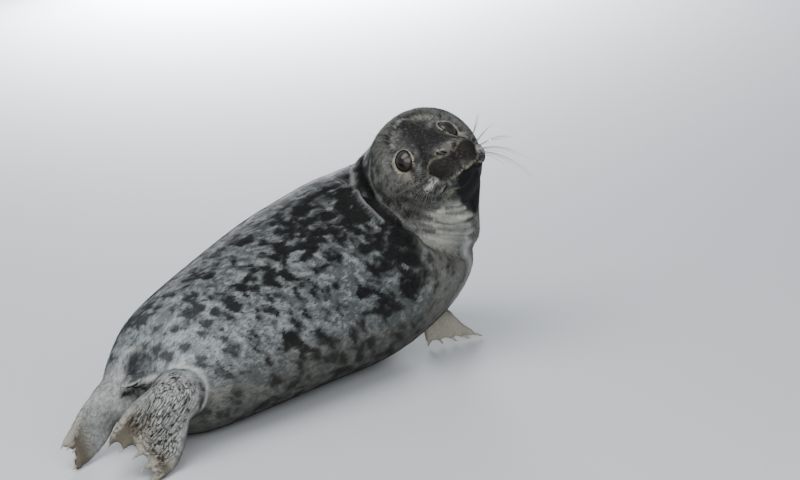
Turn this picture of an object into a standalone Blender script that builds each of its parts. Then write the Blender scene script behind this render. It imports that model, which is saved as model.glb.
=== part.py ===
"""A young grey seal lying on its belly, chest up, looking back over its right shoulder.

Life size, in metres. +X runs forward along the trunk, +Y to the seal's left and +Z up, and the
belly, the flippers and the floor meet at z = 0. The flesh is modelled whole, as lofts and
ellipsoids that one Remesh fuses, then parted with thin cuts into named nodes. The eyes and the
twenty claws are solids of their own, set in pockets. Everything hangs on one empty, which puts
the model's origin under the middle of its box.
"""

import math

import bmesh
import bpy
from mathutils import Matrix, Vector

# ---- Driving dimensions ----
GAP = 0.0003  # between neighbouring solids
VOXEL = 0.004  # grain of the fused flesh
FLESH_TRIANGLES = 5000  # kept in the fused flesh
RELAX_PASSES = 8  # of smoothing after the fuse
SHARP = math.radians(45)  # edges that bend more than this stay crisp
FLOOR_BOX = 4.0  # side of the block that cuts the flats
DIGITS = 5

CREASE = Vector((0.597, -0.070, 0.256))  # middle of the fold from which the neck rises
CREASE_AXIS = Vector((0.23, -0.57, 0.79))
FORWARD = Vector((1, 0, 0))
UPRIGHT = Vector((0, 0.05, 1))  # upper side of the limbs' sections

# Trunk, tail end first: centre, the way it runs, half width, half height above and below.
TRUNK = [
    (Vector((-0.146, 0.000, 0.084)), FORWARD, 0.044, 0.012, 0.022),
    (Vector((-0.125, 0.003, 0.096)), FORWARD, 0.089, 0.034, 0.054),
    (Vector((-0.070, 0.005, 0.112)), FORWARD, 0.114, 0.086, 0.100),
    (Vector((0.000, 0.005, 0.119)), FORWARD, 0.134, 0.119, 0.123),
    (Vector((0.157, 0.001, 0.137)), FORWARD, 0.157, 0.139, 0.142),
    (Vector((0.300, -0.004, 0.153)), FORWARD, 0.171, 0.154, 0.158),
    (Vector((0.420, -0.018, 0.168)), Vector((0.96, -0.10, 0.20)), 0.175, 0.160, 0.171),
    (Vector((0.520, -0.040, 0.194)), Vector((0.80, -0.25, 0.50)), 0.163, 0.163, 0.162),
    (Vector((0.575, -0.058, 0.228)), Vector((0.45, -0.45, 0.75)), 0.146, 0.150, 0.145),
    (CREASE - CREASE_AXIS * 0.010, CREASE_AXIS, 0.122, 0.127, 0.120),
    (CREASE + CREASE_AXIS * 0.010, CREASE_AXIS, 0.085, 0.085, 0.085),
]
TRUNK_UP = Vector((-0.25, 0, 1))  # upper side of its sections

# Neck, from inside the shoulders through the fold to the skull: centre, the way it runs, radius.
NECK = [
    (CREASE - CREASE_AXIS * 0.050, CREASE_AXIS, 0.092),
    (CREASE - CREASE_AXIS * 0.022, CREASE_AXIS, 0.117),
    (CREASE, CREASE_AXIS, 0.129),
    (Vector((0.583, -0.095, 0.294)), Vector((-0.02, -0.62, 0.76)), 0.113),
    (Vector((0.568, -0.118, 0.328)), Vector((-0.40, -0.72, 0.50)), 0.103),
    (Vector((0.550, -0.135, 0.340)), Vector((-0.50, -0.76, 0.40)), 0.090),
]

# Head: its frame, then stations along its forward axis from the back of the skull to the nose.
HEAD_ORIGIN = Vector((0.516, -0.165, 0.394))  # midway between the two corneas
HEAD_FORWARD = Vector((-0.536, -0.778, 0.327))
HEAD_UP = Vector((-0.188, 0.488, 0.854))
SKULL = [  # forward, up, half width, half height above and below, how square above
    (-0.115, -0.040, 0.070, 0.070, 0.070, 2.1),
    (-0.082, -0.035, 0.103, 0.100, 0.102, 2.1),
    (-0.050, -0.035, 0.100, 0.090, 0.098, 2.0),
    (-0.020, -0.036, 0.087, 0.068, 0.088, 1.7),
    (0.005, -0.038, 0.070, 0.052, 0.075, 1.4),
    (0.030, -0.042, 0.054, 0.045, 0.058, 1.5),
    (0.055, -0.046, 0.046, 0.037, 0.047, 1.9),
    (0.076, -0.046, 0.039, 0.029, 0.036, 2.2),
    (0.088, -0.043, 0.024, 0.018, 0.022, 2.2),
]
MUZZLE = [  # rounded forms either side, centre in the head's frame and half sizes
    ((0.060, 0.025, -0.048), (0.031, 0.027, 0.026)),
    ((0.035, 0.041, -0.065), (0.037, 0.029, 0.028)),
]
NOSE = ((0.076, 0.0, -0.029), (0.016, 0.021, 0.014))
CHIN = ((0.042, 0.0, -0.084), (0.032, 0.027, 0.019))

EYE_RADIUS = 0.020
EYE_SEGMENTS = 16
EYE_CENTRE = Vector((-0.012, 0.0430, -0.008))
EYE_GAZE = Vector((0.61, 0.69, 0.39))
SOCKET_RADIUS = 0.0215  # of the lids' mound, set back so that the eye shows through it
SOCKET_SETBACK = 0.003

# Tail, tail root first: centre, half width, half height.
TAIL = [
    ((-0.080, 0.000, 0.136), 0.036, 0.024),
    ((-0.120, 0.000, 0.134), 0.026, 0.014),
    ((-0.148, 0.001, 0.131), 0.020, 0.010),
    ((-0.172, 0.002, 0.126), 0.011, 0.006),
]

# Limbs: the leg as centre, half width and half height, then the paths of its first and fifth digits.
LIMBS = {
    "fore_right": (
        [
            ((0.540, -0.085, 0.120), 0.060, 0.052),
            ((0.575, -0.088, 0.090), 0.044, 0.036),
            ((0.590, -0.097, 0.062), 0.034, 0.024),
        ],
        [(0.585, -0.090, 0.075), (0.604, -0.110, 0.045), (0.617, -0.130, 0.020), (0.628, -0.151, 0.006)],
        [(0.570, -0.085, 0.065), (0.563, -0.094, 0.034), (0.558, -0.099, 0.017), (0.551, -0.103, 0.006)],
    ),
    "fore_left": (
        [
            ((0.540, 0.010, 0.120), 0.060, 0.052),
            ((0.572, 0.034, 0.090), 0.044, 0.036),
            ((0.588, 0.048, 0.062), 0.034, 0.024),
        ],
        [(0.585, 0.030, 0.075), (0.604, 0.048, 0.045), (0.620, 0.064, 0.020), (0.640, 0.082, 0.006)],
        [(0.565, 0.050, 0.065), (0.562, 0.070, 0.034), (0.559, 0.088, 0.016), (0.554, 0.106, 0.006)],
    ),
    "hind_right": (
        [
            ((-0.040, -0.052, 0.095), 0.044, 0.046),
            ((-0.098, -0.070, 0.103), 0.044, 0.047),
            ((-0.134, -0.077, 0.103), 0.043, 0.046),
            ((-0.162, -0.081, 0.090), 0.034, 0.042),
            ((-0.190, -0.084, 0.072), 0.020, 0.036),
            ((-0.220, -0.086, 0.056), 0.009, 0.026),
        ],
        [
            (-0.120, -0.052, 0.115),
            (-0.160, -0.042, 0.110),
            (-0.206, -0.044, 0.101),
            (-0.250, -0.050, 0.084),
            (-0.286, -0.056, 0.066),
        ],
        [
            (-0.125, -0.092, 0.082),
            (-0.155, -0.106, 0.052),
            (-0.190, -0.118, 0.022),
            (-0.232, -0.124, 0.008),
            (-0.276, -0.128, 0.006),
        ],
    ),
    "hind_left": (
        [
            ((-0.030, 0.050, 0.095), 0.044, 0.046),
            ((-0.085, 0.066, 0.088), 0.038, 0.042),
            ((-0.118, 0.070, 0.084), 0.034, 0.038),
            ((-0.148, 0.072, 0.074), 0.026, 0.034),
            ((-0.185, 0.072, 0.056), 0.014, 0.026),
        ],
        [
            (-0.120, 0.072, 0.098),
            (-0.150, 0.075, 0.097),
            (-0.186, 0.076, 0.085),
            (-0.222, 0.075, 0.061),
            (-0.258, 0.072, 0.042),
        ],
        [
            (-0.120, 0.078, 0.058),
            (-0.145, 0.070, 0.036),
            (-0.182, 0.062, 0.020),
            (-0.222, 0.054, 0.010),
            (-0.262, 0.047, 0.006),
        ],
    ),
}
DIGIT_REACH = {"fore": (1.0, 0.99, 0.97, 0.95, 0.95), "hind": (1.0, 0.91, 0.86, 0.90, 0.98)}
DIGIT_ROOT = {"fore": 0.0130, "hind": 0.0135}  # radius of a digit at the wrist or ankle
DIGIT_TIP = 0.0080  # radius at its end
DIGIT_BEYOND = 0.6  # how far its rounded end runs on, in tip radii
DIGIT_END = 0.45  # size of that end, in tip radii
DIGIT_POINTS = 7  # along its path
INNER_DIGIT = 0.85  # size of the three middle digits beside the outer two
WEB_THICKNESS = 0.010
WEB_NOTCH = 0.10  # share of their length by which the web stops short between digits
WEB_MARGIN = 0.03  # share by which it stops short of every tip
WEB_STRIPS = 4  # from one digit to the next
CLAW_LENGTH = {"fore": 0.017, "hind": 0.012}
CLAW_RADIUS = 0.0030
CLAW_TAPER = [(0.0, 1.0), (0.55, 0.8), (1.0, 0.22)]  # share of its length, share of its radius
CLAW_DROOP = 0.25  # share of its length by which its point hangs
CLAW_LIFT = 0.35  # height of its root above the digit's middle, in tip radii
CLAW_ROOT = 0.006  # how deep a claw sits in its digit
CLAW_LOWEST = 0.0035  # height of its middle where it would reach the floor
CLAW_SIDES = 5

# Thin discs that part the flesh: centre, axis, radius.
CUTS = [
    (Vector((0.574, -0.112, 0.316)), Vector((-0.05, -0.62, 0.78)), 0.150),
    (CREASE - CREASE_AXIS * 0.008, Vector((0.45, -0.45, 0.77)), 0.180),
    (Vector((0.400, 0.0, 0.15)), FORWARD, 0.30),
    (Vector((0.200, 0.0, 0.15)), FORWARD, 0.30),
    (Vector((0.000, 0.0, 0.13)), FORWARD, 0.25),
    (Vector((-0.137, 0.0, 0.131)), Vector((0.82, 0, -0.57)), 0.032),
    (Vector((-0.152, -0.084, 0.078)), FORWARD, 0.070),
    (Vector((-0.150, 0.072, 0.068)), FORWARD, 0.054),
    (Vector((0.586, -0.106, 0.038)), Vector((0.1, -0.3, -0.9)), 0.042),
    (Vector((0.586, 0.062, 0.038)), Vector((0.1, 0.3, -0.9)), 0.042),
]
# Each piece of flesh that the cuts leave, and a place inside it.
FLESH_NODES = {
    "head": (0.52, -0.17, 0.36),
    "neck": (0.59, -0.09, 0.28),
    "chest": (0.48, -0.03, 0.17),
    "trunk_front": (0.30, 0.0, 0.15),
    "trunk_rear": (0.10, 0.0, 0.13),
    "rump": (-0.06, 0.0, 0.11),
    "tail": (-0.152, 0.0, 0.129),
    "flipper_fore_right": (0.60, -0.12, 0.02),
    "flipper_fore_left": (0.60, 0.07, 0.02),
    "flipper_hind_right": (-0.20, -0.09, 0.06),
    "flipper_hind_left": (-0.20, 0.07, 0.05),
}

COAT = ("coat", (0.20, 0.21, 0.21), 0.85)
SKIN = ("bare_skin", (0.30, 0.27, 0.23), 0.7)
EYE = ("eye_gloss", (0.012, 0.010, 0.010), 0.05)
CLAW = ("claw_horn", (0.50, 0.44, 0.36), 0.45)


# ---- Helpers ----
def clear_scene():
    for obj in list(bpy.data.objects):
        bpy.data.objects.remove(obj)


def collection(name):
    made = bpy.data.collections.new(name)
    bpy.context.scene.collection.children.link(made)
    return made


def material(node, finish):
    name, colour, roughness = finish
    made = bpy.data.materials.new(f"{name}_{node}")
    made.use_nodes = True
    shader = made.node_tree.nodes["Principled BSDF"]
    shader.inputs["Base Color"].default_value = (*colour, 1)
    shader.inputs["Roughness"].default_value = roughness
    shader.inputs["Metallic"].default_value = 0.0
    return made


def new_object(name, bm, where):
    mesh = bpy.data.meshes.new(name)
    bmesh.ops.recalc_face_normals(bm, faces=bm.faces)
    bm.to_mesh(mesh)
    bm.free()
    obj = bpy.data.objects.new(name, mesh)
    where.objects.link(obj)
    return obj


def settled(obj):
    """The mesh that an object's modifiers make."""
    graph = bpy.context.evaluated_depsgraph_get()
    return bpy.data.meshes.new_from_object(obj.evaluated_get(graph), depsgraph=graph)


def catmull_rom(rows, steps):
    """Rows of equal length, with steps smooth rows from each to the next."""
    padded = [rows[0], *rows, rows[-1]]
    smooth = []
    for before, start, end, after in zip(padded, padded[1:], padded[2:], padded[3:]):
        for i in range(steps):
            t = i / steps
            row = []
            for p, q, r, s in zip(before, start, end, after):
                bend = (2 * p - 5 * q + 4 * r - s) * t * t + (3 * q - p - 3 * r + s) * t**3
                row.append(q + 0.5 * ((r - p) * t + bend))
            smooth.append(row)
    smooth.append(list(rows[-1]))
    return smooth


def loft(bm, stations, up, sides=32, steps=4, boxy=2.2, axes=None):
    """A closed tube through stations (x, y, z, half width, above, below, how square above).

    up is the sections' upper side, boxy squares them, above too where a station doesn't say, and
    axes gives the way the tube runs at each station where that isn't along its centres.
    """
    rows = catmull_rom(stations, steps)
    runs = catmull_rom(axes, steps) if axes else None
    centres = [Vector(row[:3]) for row in rows]
    rings = []
    for i, (centre, row) in enumerate(zip(centres, rows)):
        along = Vector(runs[i]) if axes else centres[min(i + 1, len(rows) - 1)] - centres[max(i - 1, 0)]
        along.normalize()
        side = Vector(up).cross(along).normalized()
        top = along.cross(side)
        ring = []
        for k in range(sides):
            angle = 2 * math.pi * k / sides
            c, s = math.cos(angle), math.sin(angle)
            square = row[6] if s > 0 and len(row) > 6 else boxy
            reach = (abs(c) ** square + abs(s) ** square) ** (-1 / square)
            height = row[4] if s > 0 else row[5]
            ring.append(bm.verts.new(centre + side * (row[3] * c * reach) + top * (height * s * reach)))
        rings.append(ring)
    for a, b in zip(rings, rings[1:]):
        for k in range(sides):
            bm.faces.new((a[k], a[(k + 1) % sides], b[(k + 1) % sides], b[k]))
    bm.faces.new(list(reversed(rings[0])))
    bm.faces.new(rings[-1])


def ellipsoid(bm, frame, centre, radii, segments=24):
    place = frame @ Matrix.Translation(centre) @ Matrix.Diagonal((*radii, 1))
    bmesh.ops.create_uvsphere(bm, u_segments=segments, v_segments=segments // 2, radius=1, matrix=place)


def flip(point, side):
    return Vector((point[0], point[1] * side, point[2]))


def head_frame():
    """From (forward, left, up) in the head's frame to the model's."""
    forward = HEAD_FORWARD.normalized()
    left = HEAD_UP.cross(forward).normalized()
    axes = Matrix((forward, left, forward.cross(left))).transposed().to_4x4()
    return Matrix.Translation(HEAD_ORIGIN) @ axes


# ---- Flesh ----
def add_head(bm):
    frame = head_frame()
    rows = [[*(frame @ Vector((ahead, 0, up))), *sizes] for ahead, up, *sizes in SKULL]
    loft(bm, rows, up=frame.to_3x3() @ Vector((0, 0, 1)), boxy=2.1)
    ellipsoid(bm, frame, *NOSE)
    ellipsoid(bm, frame, *CHIN)
    for side in (1, -1):
        for centre, sizes in MUZZLE:
            ellipsoid(bm, frame, flip(centre, side), sizes)
        mound = EYE_CENTRE - EYE_GAZE.normalized() * SOCKET_SETBACK
        ellipsoid(bm, frame, flip(mound, side), [SOCKET_RADIUS] * 3)


def limb(bm, rows, sides=20):
    """A thick stretch of leg or tail: rows of centre, half width and half height."""
    loft(bm, [[*centre, width, height, height] for centre, width, height in rows], UPRIGHT, sides)


def digit_path(limb_name, share, reach):
    """The path of the digit that lies share of the way from the first to the fifth."""
    _, first, fifth = LIMBS[limb_name]
    whole = [list(Vector(a).lerp(Vector(b), share)) for a, b in zip(first, fifth)]
    fine = catmull_rom(whole, 8)
    length = (len(fine) - 1) * reach
    points = []
    for i in range(DIGIT_POINTS):
        at = length * i / (DIGIT_POINTS - 1)
        low = min(int(at), len(fine) - 2)
        points.append(Vector(fine[low]).lerp(Vector(fine[low + 1]), at - low))
    return points


def digit_paths(limb_name):
    reaches = DIGIT_REACH[limb_name[:4]]
    return [digit_path(limb_name, k / (DIGITS - 1), reach) for k, reach in enumerate(reaches)]


def add_digits(bm, limb_name):
    root = DIGIT_ROOT[limb_name[:4]]
    for k, path in enumerate(digit_paths(limb_name)):
        stout = 1.0 if k in (0, DIGITS - 1) else INNER_DIGIT
        last = len(path) - 1
        rows = [[*p, *[(root + (DIGIT_TIP - root) * i / last) * stout] * 3] for i, p in enumerate(path)]
        beyond = path[-1] + (path[-1] - path[-2]).normalized() * DIGIT_TIP * DIGIT_BEYOND
        rows.append([*beyond, *[DIGIT_TIP * DIGIT_END] * 3])
        loft(bm, rows, UPRIGHT, sides=12, steps=2, boxy=2)


def add_web(bm, limb_name):
    """The skin between the digits: a thin fan whose edge is notched between them."""
    reaches = DIGIT_REACH[limb_name[:4]]
    across = (DIGITS - 1) * WEB_STRIPS
    fan = bmesh.new()
    rows = []
    for j in range(across + 1):
        share = j / across * (DIGITS - 1)
        low = min(int(share), DIGITS - 2)
        reach = reaches[low] + (reaches[low + 1] - reaches[low]) * (share - low)
        notch = WEB_NOTCH * math.sin(math.pi * (share - low)) + WEB_MARGIN
        rows.append([fan.verts.new(p) for p in digit_path(limb_name, j / across, reach - notch)])
    for a, b in zip(rows, rows[1:]):
        for i in range(len(a) - 1):
            fan.faces.new((a[i], a[i + 1], b[i + 1], b[i]))
    sheet = new_object("web", fan, bpy.context.scene.collection)
    solid = sheet.modifiers.new("thickness", "SOLIDIFY")
    solid.thickness = WEB_THICKNESS
    solid.offset = 0
    bm.from_mesh(settled(sheet))
    bpy.data.objects.remove(sheet)


def flesh(where):
    bm = bmesh.new()
    loft(
        bm,
        [[*centre, *sizes] for centre, _, *sizes in TRUNK],
        TRUNK_UP,
        sides=40,
        axes=[list(axis) for _, axis, *_ in TRUNK],
    )
    loft(
        bm,
        [[*centre, *[radius] * 3] for centre, _, radius in NECK],
        up=(0, 1, 1),
        sides=36,
        axes=[list(axis) for _, axis, _ in NECK],
    )
    add_head(bm)
    limb(bm, TAIL)
    for name, (leg, _, _) in LIMBS.items():
        limb(bm, leg)
        add_digits(bm, name)
        add_web(bm, name)
    whole = new_object("flesh", bm, where)
    fuse = whole.modifiers.new("fuse", "REMESH")
    fuse.mode = "VOXEL"
    fuse.voxel_size = VOXEL
    relax = whole.modifiers.new("relax", "SMOOTH")
    relax.factor = 0.5
    relax.iterations = RELAX_PASSES
    fine = len(settled(whole).polygons) * 2
    thin = whole.modifiers.new("thin", "DECIMATE")
    thin.ratio = FLESH_TRIANGLES / fine
    return whole


# ---- Cutters ----
def cutter(name, bm, where):
    tool = new_object(name, bm, where)
    tool.hide_render = True
    tool.display_type = "WIRE"
    return tool


def cut(whole, tool):
    modifier = whole.modifiers.new(tool.name, "BOOLEAN")
    modifier.operation = "DIFFERENCE"
    modifier.solver = "EXACT"
    modifier.object = tool


def floor_cutter(where):
    bm = bmesh.new()
    place = Matrix.Translation((0, 0, -FLOOR_BOX / 2)) @ Matrix.Scale(FLOOR_BOX, 4)
    bmesh.ops.create_cube(bm, size=1, matrix=place)
    return cutter("cut_floor", bm, where)


def disc_cutter(index, where):
    centre, axis, radius = CUTS[index]
    place = Matrix.Translation(centre) @ axis.to_track_quat("Z", "Y").to_matrix().to_4x4()
    bm = bmesh.new()
    bmesh.ops.create_cone(
        bm, cap_ends=True, segments=32, radius1=radius, radius2=radius, depth=GAP, matrix=place
    )
    return cutter(f"cut_part_{index}", bm, where)


# ---- Eyes and claws ----
def eye_shape(side, margin):
    bm = bmesh.new()
    place = head_frame() @ Matrix.Translation(flip(EYE_CENTRE, side))
    bmesh.ops.create_uvsphere(
        bm,
        u_segments=EYE_SEGMENTS,
        v_segments=EYE_SEGMENTS // 2,
        radius=EYE_RADIUS + margin,
        matrix=place,
    )
    return bm


def claw_shape(limb_name, k, margin):
    """A tapering claw on the end of digit k that droops a little; margin fattens it into its pocket."""
    path = digit_paths(limb_name)[k]
    length = CLAW_LENGTH[limb_name[:4]]
    ahead = (path[-1] - path[-2]).normalized()
    mouth = path[-1] + ahead * DIGIT_TIP * DIGIT_BEYOND + Vector((0, 0, DIGIT_TIP * CLAW_LIFT))
    down = Vector((0, 0, -CLAW_DROOP * length))
    rows = []
    for share, width in CLAW_TAPER:
        centre = mouth + ahead * (length * share - CLAW_ROOT) + down * share**2
        centre.z = max(centre.z, CLAW_LOWEST)
        rows.append([*centre, *[CLAW_RADIUS * width + margin] * 3])
    root = Vector(rows[0][:3]) - ahead * margin
    rows[0] = [*root, *rows[0][3:]]
    bm = bmesh.new()
    loft(bm, rows, UPRIGHT, CLAW_SIDES, steps=1, boxy=2)
    return bm


# ---- Assembly ----
def part_flesh(whole, where):
    """The loose pieces of the cut flesh, each an object named for the place that it covers."""
    bm = bmesh.new()
    bm.from_mesh(settled(whole))
    bpy.data.objects.remove(whole)
    unseen = set(bm.verts)
    pieces = {}
    while unseen:
        shell, front = set(), [next(iter(unseen))]
        while front:
            vert = front.pop()
            if vert in shell:
                continue
            shell.add(vert)
            front.extend(edge.other_vert(vert) for edge in vert.link_edges)
        unseen -= shell
        middle = sum((v.co for v in shell), Vector()) / len(shell)
        name = min(FLESH_NODES, key=lambda node: (Vector(FLESH_NODES[node]) - middle).length)
        if name not in pieces or len(shell) > len(pieces[name]):
            pieces[name] = shell
    objects = []
    for name in FLESH_NODES:
        piece = bm.copy()
        keep = {v.index for v in pieces[name]}
        bmesh.ops.delete(piece, geom=[v for v in piece.verts if v.index not in keep], context="VERTS")
        obj = new_object(name, piece, where)
        obj.data.materials.append(material(name, SKIN if "flipper" in name else COAT))
        obj.data.shade_smooth()
        obj.data.set_sharp_from_angle(angle=SHARP)
        objects.append(obj)
    bm.free()
    return objects


def rest_on_origin(objects):
    """Hangs the objects on an empty that puts the model's origin under the middle of its box."""
    corners = [obj.matrix_world @ v.co for obj in objects for v in obj.data.vertices]
    low = [min(c[i] for c in corners) for i in range(3)]
    high = [max(c[i] for c in corners) for i in range(3)]
    origin = bpy.data.objects.new("grey_seal_origin", None)
    origin.location = (-(low[0] + high[0]) / 2, -(low[1] + high[1]) / 2, -low[2])
    bpy.context.scene.collection.objects.link(origin)
    for obj in objects:
        obj.parent = origin


def main():
    clear_scene()
    parts = collection("grey_seal")
    cutters = collection("cutters")
    whole = flesh(cutters)
    whole.hide_render = True
    cut(whole, floor_cutter(cutters))
    objects = []
    for side, name in ((1, "left"), (-1, "right")):
        eye = new_object(f"eye_{name}", eye_shape(side, 0), parts)
        eye.data.materials.append(material(eye.name, EYE))
        eye.data.shade_smooth()
        objects.append(eye)
        cut(whole, cutter(f"socket_{name}", eye_shape(side, GAP), cutters))
    for limb_name in LIMBS:
        for k in range(DIGITS):
            claw = new_object(f"claw_{limb_name}_{k + 1}", claw_shape(limb_name, k, 0), parts)
            claw.data.materials.append(material(claw.name, CLAW))
            objects.append(claw)
            cut(whole, cutter(f"pocket_{limb_name}_{k + 1}", claw_shape(limb_name, k, GAP), cutters))
    for index in range(len(CUTS)):
        cut(whole, disc_cutter(index, cutters))
    objects += part_flesh(whole, parts)
    bpy.context.view_layer.update()
    rest_on_origin(objects)


main()
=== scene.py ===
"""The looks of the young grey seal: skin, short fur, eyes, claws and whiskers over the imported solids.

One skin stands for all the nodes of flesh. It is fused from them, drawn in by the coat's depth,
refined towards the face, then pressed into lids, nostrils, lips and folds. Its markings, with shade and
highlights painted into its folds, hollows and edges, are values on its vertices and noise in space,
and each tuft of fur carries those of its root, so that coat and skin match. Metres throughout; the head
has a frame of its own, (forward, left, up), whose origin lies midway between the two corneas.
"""

import math

import bmesh
import bpy
import numpy as np
from mathutils import Matrix, Vector, noise


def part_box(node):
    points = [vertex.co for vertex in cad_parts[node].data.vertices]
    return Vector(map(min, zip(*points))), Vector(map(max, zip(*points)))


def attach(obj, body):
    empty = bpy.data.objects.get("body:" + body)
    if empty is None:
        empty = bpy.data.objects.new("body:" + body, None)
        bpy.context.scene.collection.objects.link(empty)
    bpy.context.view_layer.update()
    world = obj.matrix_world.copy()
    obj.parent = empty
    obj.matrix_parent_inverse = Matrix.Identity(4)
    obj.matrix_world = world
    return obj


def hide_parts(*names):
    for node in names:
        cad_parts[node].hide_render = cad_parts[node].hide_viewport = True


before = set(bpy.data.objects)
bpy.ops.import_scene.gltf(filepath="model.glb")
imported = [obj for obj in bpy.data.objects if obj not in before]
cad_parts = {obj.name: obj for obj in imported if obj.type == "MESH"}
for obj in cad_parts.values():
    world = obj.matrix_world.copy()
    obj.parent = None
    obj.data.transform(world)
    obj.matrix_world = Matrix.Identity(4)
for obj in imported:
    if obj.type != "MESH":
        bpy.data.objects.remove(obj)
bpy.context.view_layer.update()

# ---- The seal's frame ----
HEAD_FORWARD = Vector((-0.536, -0.778, 0.327)).normalized()
HEAD_LEFT = Vector((-0.188, 0.488, 0.854)).cross(HEAD_FORWARD).normalized()
HEAD_AXES = Matrix((HEAD_FORWARD, HEAD_LEFT, HEAD_FORWARD.cross(HEAD_LEFT))).transposed()
EYE_CENTRE = (-0.012, 0.043, -0.008)  # of the left eye, in the head's frame
EYE_GAZE = np.array((0.61, 0.69, 0.39)) / np.linalg.norm((0.61, 0.69, 0.39))
EYE_RADIUS = 0.020

SIDES = {"left": 1, "right": -1}
FLESH = ("head", "neck", "chest", "trunk_front", "trunk_rear", "rump", "tail")
FLIPPERS = ("flipper_fore_right", "flipper_fore_left", "flipper_hind_right", "flipper_hind_left")

# ---- The skin's making ----
SWELL = 0.0004  # closes the gaps between the solids before they are fused
GRAIN = 0.0056  # of the fused skin
COAT_DEPTH = 0.0016  # from the solids' surface down to the skin
SEED = 11


def middle(node):
    low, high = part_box(node)
    return (low + high) / 2


eyes_middle = (middle("eye_left") + middle("eye_right")) / 2
HEAD_ORIGIN = eyes_middle - HEAD_AXES @ Vector((EYE_CENTRE[0], 0, EYE_CENTRE[2]))
head_axes = np.array(HEAD_AXES)
head_origin = np.array(HEAD_ORIGIN)


def to_head(places):
    """Places in the model, in the head's frame."""
    return (places - head_origin) @ head_axes


def from_head(places):
    return np.asarray(places, float) @ head_axes.T + head_origin


def rise(values, low, high):
    """0 below low, 1 above high, and a smooth step between; low may be the larger."""
    t = np.clip((values - low) / (high - low), 0, 1)
    return t * t * (3 - 2 * t)


def bell(distances, width):
    return np.exp(-((distances / width) ** 2))


def blob(places, centre, sizes):
    """1 in the middle of an ellipsoid, falling smoothly to about a third at its surface."""
    return np.exp(-np.sum(((places - np.array(centre)) / np.array(sizes)) ** 2, axis=1))


def cloud(places, scale, seed=0.0):
    """Smooth noise from about -1 to 1 at each place, with waves about 1 / scale long."""
    offset = Vector((seed, seed * 1.7, -seed))
    return np.array([noise.noise(Vector(p) * scale + offset) for p in places])


# ---- Skin ----
class Skin:
    """The skin's mesh with its vertices' places and normals at hand as arrays."""

    def __init__(self, mesh):
        self.mesh = mesh
        self.read()

    def read(self):
        count = len(self.mesh.vertices)
        self.places = np.empty(count * 3, np.float32)
        self.mesh.vertices.foreach_get("co", self.places)
        self.places = self.places.reshape(-1, 3).astype(float)
        pairs = np.empty(len(self.mesh.edges) * 2, np.int32)
        self.mesh.edges.foreach_get("vertices", pairs)
        pairs = pairs.reshape(-1, 2)
        self.ends = np.concatenate([pairs[:, 0], pairs[:, 1]])
        self.others = np.concatenate([pairs[:, 1], pairs[:, 0]])
        self.valence = np.maximum(np.bincount(self.ends, minlength=count), 1)
        self.read_normals()

    def read_normals(self):
        normals = np.empty(len(self.places) * 3, np.float32)
        self.mesh.vertex_normals.foreach_get("vector", normals)
        self.normals = normals.reshape(-1, 3).astype(float)

    def settle(self):
        """Writes the places to the mesh and reads its normals again."""
        self.mesh.vertices.foreach_set("co", self.places.astype(np.float32).ravel())
        self.mesh.update()
        self.read_normals()

    def around(self, values):
        """The mean of each vertex's neighbours."""
        count = len(self.places)
        if values.ndim == 1:
            return np.bincount(self.ends, values[self.others], count) / self.valence
        return np.stack([self.around(values[:, k]) for k in range(values.shape[1])], axis=1)

    def relax(self, passes, share=None):
        """Smooths without shrinking: a pull towards the neighbours, then a slightly larger push."""
        for step in (0.5, -0.52) * passes:
            move = (self.around(self.places) - self.places) * step
            self.places += move if share is None else move * share[:, None]
        self.settle()

    def push(self, amounts):
        """Moves the vertices out along their normals."""
        self.places += self.normals * amounts[:, None]

    def refine(self, wanted, grain):
        """Halves the faces that are larger than the grain and whose centres are wanted."""
        bm = bmesh.new()
        bm.from_mesh(self.mesh)
        centres = np.array([f.calc_center_median() for f in bm.faces])
        areas = np.array([f.calc_area() for f in bm.faces])
        chosen = wanted(centres) & (areas > 1.7 * grain**2)
        edges = {edge for face, keep in zip(bm.faces, chosen) if keep for edge in face.edges}
        bmesh.ops.subdivide_edges(bm, edges=list(edges), cuts=1, use_grid_fill=True)
        bm.to_mesh(self.mesh)
        bm.free()
        self.read()


def fused_flesh():
    """The solids of the flesh and the eyes as one closed mesh of even grain."""
    bm = bmesh.new()
    for node in (*FLESH, *FLIPPERS, "eye_left", "eye_right"):
        piece = bmesh.new()
        piece.from_mesh(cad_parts[node].data)
        bmesh.ops.remove_doubles(piece, verts=piece.verts, dist=1e-6)
        piece.normal_update()
        for vert in piece.verts:
            vert.co += vert.normal * SWELL
        swollen = bpy.data.meshes.new("swollen")
        piece.to_mesh(swollen)
        piece.free()
        bm.from_mesh(swollen)
    mesh = bpy.data.meshes.new("flesh")
    bm.to_mesh(mesh)
    bm.free()
    obj = bpy.data.objects.new("flesh", mesh)
    bpy.context.scene.collection.objects.link(obj)
    fuse = obj.modifiers.new("fuse", "REMESH")
    fuse.mode = "VOXEL"
    fuse.voxel_size = GRAIN
    graph = bpy.context.evaluated_depsgraph_get()
    fused = bpy.data.meshes.new_from_object(obj.evaluated_get(graph), depsgraph=graph)
    bpy.data.objects.remove(obj)
    return fused


def unwrap(mesh):
    """A flat layout of the skin's own shape, in which each tuft finds its place."""
    obj = bpy.data.objects.new("unwrap", mesh)
    bpy.context.scene.collection.objects.link(obj)
    bpy.context.view_layer.objects.active = obj
    obj.select_set(True)
    bpy.ops.object.mode_set(mode="EDIT")
    bpy.ops.mesh.select_all(action="SELECT")
    bpy.ops.uv.smart_project(angle_limit=math.radians(66), island_margin=0.003)
    bpy.ops.object.mode_set(mode="OBJECT")
    bpy.data.objects.remove(obj)


def head_and_limbs(centres):
    head = to_head(centres)
    near_head = np.linalg.norm(head - (-0.03, 0, -0.05), axis=1) < 0.165
    hind = centres[:, 0] < -0.305
    fore = (centres[:, 2] < 0.055) & (centres[:, 0] > 0.33)
    return near_head | hind | fore


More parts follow.
